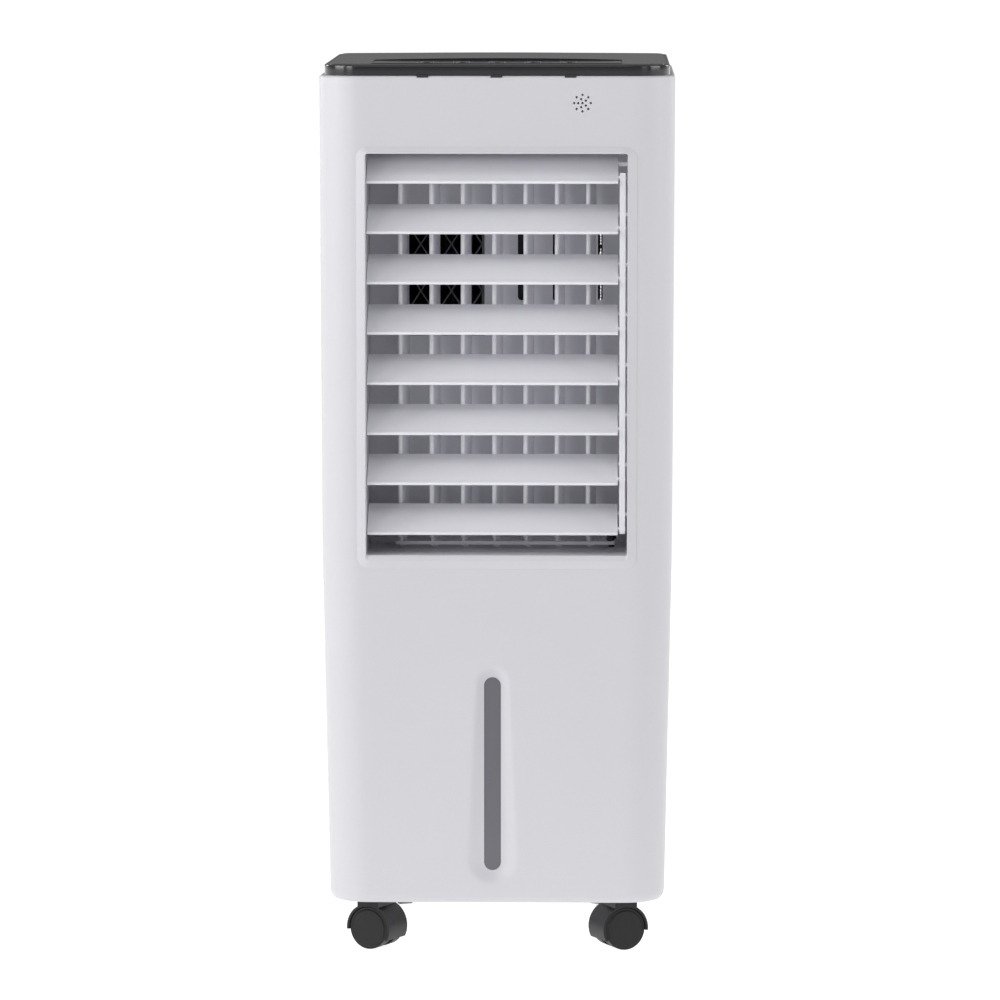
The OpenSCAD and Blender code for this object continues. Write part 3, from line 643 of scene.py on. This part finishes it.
for e, z in ((0.0, 747.0), (0.0, 750.5), (0.0, 754.6), (0.12, 755.2), (0.45, 755.8), (0.95, 756.2), (1.5, 756.3), (2.1, 756.3),
             (2.35, 755.9), (2.5, 755.5), (3.0, 755.5), (3.15, 755.9), (3.4, 756.4), (4.0, 756.75), (5.0, 756.95)):
    rings.append(top_ring(e, z))
base = top_ring(6.2, 757.0)
for s in (1.0, 0.96, 0.9, 0.83, 0.75, 0.66, 0.56, 0.46, 0.36, 0.26, 0.16, 0.07):
    rings.append([(x * s, y * s, crown(x * s, min(max(y * s, -152), 152))) for x, y, z in base])
n = len(base)
under = []
for w, d, r, z in ((262, 274, 2, 747.0), (262, 274, 2, 741.0), (257, 269, 1.5, 741.0), (257, 269, 1.5, 753.6), (150, 150, 1.5, 753.6), (20, 20, 1.5, 753.6)):
    under.append(plan(w, d, r, r, z))
rings = list(reversed(under)) + rings
cover = loft("cover_skin", rings, caps=True)
tabs = []
for x in (-62, 0, 62):
    tabs.append(loft("t", [[(x + sx * (4.8 - q), y, z) for sx, y in ((-1, -156.6 + q), (1, -156.6 + q), (1, -150), (-1, -150))] for z, q in ((745.7, 0.3), (746.0, 0.0), (747.6, 0.0), (748.0, 0.4))], caps=True))
cut = [block("c", -105, 105, -147, -74, 756.2, 770), block("c", -36, 36, -111, -85, 749, 758)]
for x in KEY_X:
    cut.append(rod("c", (x, KEY_Y, 749), (x, KEY_Y, 758), 7.4, 40))
for c in cut[1:]:
    boolean(cover, c)
boolean(cover, cut[0])
cover = join("top_skin", [cover] + tabs)
piece(cover, "casing", "gloss_black", "top_cover")
finish_edges(cover, smooth=30)

# ---------------------------------------------------------------- filter net and pad
parts = []
fx, fz0, fz1 = 110.2, 333.8, 686.2
for x0, x1, z0, z1 in ((-fx, -fx + 3.7, fz0, fz1), (fx - 3.7, fx, fz0, fz1), (-fx + 3.7, fx - 3.7, fz0, fz0 + 3.7), (-fx + 3.7, fx - 3.7, fz1 - 3.7, fz1)):
    parts.append(loft("f", [[(x0 + q, y, z0 + q), (x1 - q, y, z0 + q), (x1 - q, y, z1 - q), (x0 + q, y, z1 - q)] for y, q in ((149.4, 0.4), (149.8, 0.0), (152.6, 0.0), (153.0, 0.4))], caps=True))
verts, faces = [], []


def thread(p, q, u, v, r):
    base = len(verts)
    for c in (p, q):
        for a, b in ((r, 0), (0, r), (-r, 0), (0, -r)):
            verts.append(tuple(c[k] + u[k] * a + v[k] * b for k in range(3)))
    for i in range(4):
        j = (i + 1) % 4
        faces.append((base + i, base + j, base + 4 + j, base + 4 + i))
    faces.append((base + 3, base + 2, base + 1, base))
    faces.append((base + 4, base + 5, base + 6, base + 7))


k = 0
while -107 + 2.6 * k < 107:
    x = -107 + 2.6 * k
    thread((x, 151.0, fz0 + 3), (x, 151.0, fz1 - 3), (1, 0, 0), (0, 1, 0), 0.28)
    k += 1
k = 0
while fz0 + 3 + 2.6 * k < fz1 - 3:
    z = fz0 + 3 + 2.6 * k
    thread((-107, 151.4, z), (107, 151.4, z), (0, 1, 0), (0, 0, 1), 0.28)
    k += 1
parts.append(add("net", verts, faces))
net = join("filter_net", parts)
piece(net, "cassette", "filter_mesh", "dust_filter")
finish_edges(net, smooth=50)

# corrugated sheets of the pad, flutes leaning one way and then the other
verts, faces = [], []
sheets, ny, nz = 29, 9, 118
py0, py1 = 107.6, 148.6
for s in range(sheets):
    xc = -106.2 + 212.4 * s / (sheets - 1)
    lean = 0.9 if s % 2 else -0.35
    for side in (0, 1):
        for a in range(ny + 1):
            y = py0 + (py1 - py0) * a / ny
            for b in range(nz + 1):
                z = fz0 + 0.2 + (fz1 - fz0 - 0.4) * b / nz
                x = xc + 3.3 * math.sin(2 * math.pi * (z + lean * (y - py0)) / 14.0) + (0.3 if side else -0.3)
                verts.append((x, y, z))
    o = s * 2 * (ny + 1) * (nz + 1)
    m = (ny + 1) * (nz + 1)

    def vid(a, b, side):
        return o + side * m + a * (nz + 1) + b

    for a in range(ny):
        for b in range(nz):
            faces.append((vid(a, b, 0), vid(a, b + 1, 0), vid(a + 1, b + 1, 0), vid(a + 1, b, 0)))
            faces.append((vid(a, b, 1), vid(a + 1, b, 1), vid(a + 1, b + 1, 1), vid(a, b + 1, 1)))
    for b in range(nz):
        faces.append((vid(0, b, 0), vid(0, b, 1), vid(0, b + 1, 1), vid(0, b + 1, 0)))
        faces.append((vid(ny, b, 0), vid(ny, b + 1, 0), vid(ny, b + 1, 1), vid(ny, b, 1)))
    for a in range(ny):
        faces.append((vid(a, 0, 0), vid(a + 1, 0, 0), vid(a + 1, 0, 1), vid(a, 0, 1)))
        faces.append((vid(a, nz, 0), vid(a, nz, 1), vid(a + 1, nz, 1), vid(a + 1, nz, 0)))
pad = add("pad_sheets", verts, faces)
piece(pad, "cassette", "pad_cellulose", "cooling_pad")
finish_edges(pad, smooth=60, weighted=False)

# ---------------------------------------------------------------- edges of the carried-over nodes
SOFT = {"control_panel": 0.3, "display_window": 0.15, "level_window": 0.3, "water_tank": 0.5, "filter_frame": 0.5, "drain_plug": 0.4,
        "cord_gland": 0.4, "casing_screws": 0.15, "blower_housing": 0.2, "blower_cover": 0.2, "louvre_link": 0.3, "vane_link": 0.25, "swing_motor": 0.3,
        "motor_bracket": 0.2, "water_pump": 0.6, "drip_tray": 0.4, "base_pan": 0.3, "fan_motor": 0.5}
for k in ("power", "mode", "speed", "swing", "timer"):
    SOFT["key_" + k] = 0.35
for c in CORNERS:
    SOFT["caster_%s_hood" % c] = 0.6
    SOFT["caster_%s_wheels" % c] = 0.5
for n, o in NODES.items():
    if o.hide_render:
        continue
    a = o.data.attributes.get("custom_normal")
    if a:
        o.data.attributes.remove(a)
    finish_edges(o, SOFT.get(n, 0.0), 2, 40, weld=True, smooth=40)

# ---------------------------------------------------------------- floor, light, world
rings = []
for r in (0.01, 0.4, 0.8, 1.6, 3, 6, 12, 24, 40):
    rings.append([(1000 * r * math.cos(2 * math.pi * i / 64), 1000 * r * math.sin(2 * math.pi * i / 64), 0.0) for i in range(64)])
n = 64
verts = [p for r in rings for p in r]
faces = [tuple(range(n))]
for k in range(len(rings) - 1):
    for i in range(n):
        faces.append((k * n + i, (k + 1) * n + i, (k + 1) * n + (i + 1) % n, k * n + (i + 1) % n))
floor = add("floor", verts, faces)
# The floor glows by emission, from 0.6 toward the front up to 0.95 around and behind the object: a painted pool of
# light on the floor, which also lights the object from below.
fm = material("glowing_floor_paper", (0.34, 0.34, 0.343), 0.8, 0.004, 2, 60, 0.02)
fb = fm.node_tree.nodes["Principled BSDF"]
fb.inputs["Emission Color"].default_value = (1, 1, 1, 1)
ft = fm.node_tree
g1, g2, floor_glow_fade = ft.nodes.new("ShaderNodeTexCoord"), ft.nodes.new("ShaderNodeSeparateXYZ"), ft.nodes.new("ShaderNodeMapRange")
floor_glow_fade.interpolation_type = "SMOOTHSTEP"
floor_glow_fade.inputs["From Min"].default_value = -1.2
floor_glow_fade.inputs["From Max"].default_value = -0.3
floor_glow_fade.inputs["To Min"].default_value = 0.6
floor_glow_fade.inputs["To Max"].default_value = 0.95
ft.links.new(g1.outputs["Object"], g2.inputs[0])
ft.links.new(g2.outputs["Y"], floor_glow_fade.inputs["Value"])
ft.links.new(floor_glow_fade.outputs["Result"], fb.inputs["Emission Strength"])
fb.inputs["Specular IOR Level"].default_value = 0.1
floor.data.materials.append(fm)

world = bpy.data.worlds.new("studio")
SC.world = world
world.use_nodes = True
wt = world.node_tree
bg = wt.nodes["Background"]
tc = wt.nodes.new("ShaderNodeTexCoord")
sp = wt.nodes.new("ShaderNodeSeparateXYZ")
rm = wt.nodes.new("ShaderNodeValToRGB")
mr = wt.nodes.new("ShaderNodeMapRange")
wt.links.new(tc.outputs["Generated"], sp.inputs[0])
mr.inputs["From Min"].default_value = -1
mr.inputs["From Max"].default_value = 1
wt.links.new(sp.outputs["Z"], mr.inputs["Value"])
wt.links.new(mr.outputs["Result"], rm.inputs[0])
rm.color_ramp.elements[0].position = 0.5
rm.color_ramp.elements[0].color = (0.16, 0.16, 0.163, 1)
rm.color_ramp.elements[1].position = 0.8
rm.color_ramp.elements[1].color = (0.32, 0.32, 0.325, 1)
wt.links.new(rm.outputs["Color"], bg.inputs["Color"])
bg.inputs["Strength"].default_value = 1.0


def area(name, loc, target, sx, sy, power, col=(1, 1, 1)):
    d = bpy.data.lights.new(name, "AREA")
    d.shape = "RECTANGLE"
    d.size, d.size_y = sx, sy
    d.energy = power
    d.color = col
    o = bpy.data.objects.new(name, d)
    o.location = loc
    o.rotation_euler = (Vector(target) - Vector(loc)).to_track_quat("-Z", "Y").to_euler()
    COL.objects.link(o)
    return o


area("front_left", (-2.9, -4.4, 1.5), (0, 0, 0.7), 1.6, 1.4, 46, (1, 0.998, 1))
area("front_right", (2.9, -4.4, 1.5), (0, 0, 0.7), 1.6, 1.4, 12, (0.98, 0.985, 1))
area("left", (-2.4, -1.0, 1.5), (0, 0, 0.7), 1.6, 1.6, 38, (1, 0.995, 1))
area("right", (2.4, -0.8, 1.5), (0, 0, 0.7), 1.6, 1.6, 25, (0.98, 0.985, 1))
area("key", (-0.5, -2.0, 2.4), (0, 0, 0.8), 1.4, 1.0, 5)
area("rear_left", (-2.8, 2.6, 1.4), (0, 0, 0.5), 1.2, 1.2, 16)
area("rear_right", (2.8, 2.6, 1.4), (0, 0, 0.5), 1.2, 1.2, 16)
area("top", (0, 0.4, 3.2), (0, 0, 0), 2.5, 2.5, 5)

SC.view_settings.view_transform = "Standard"
SC.view_settings.look = "None"
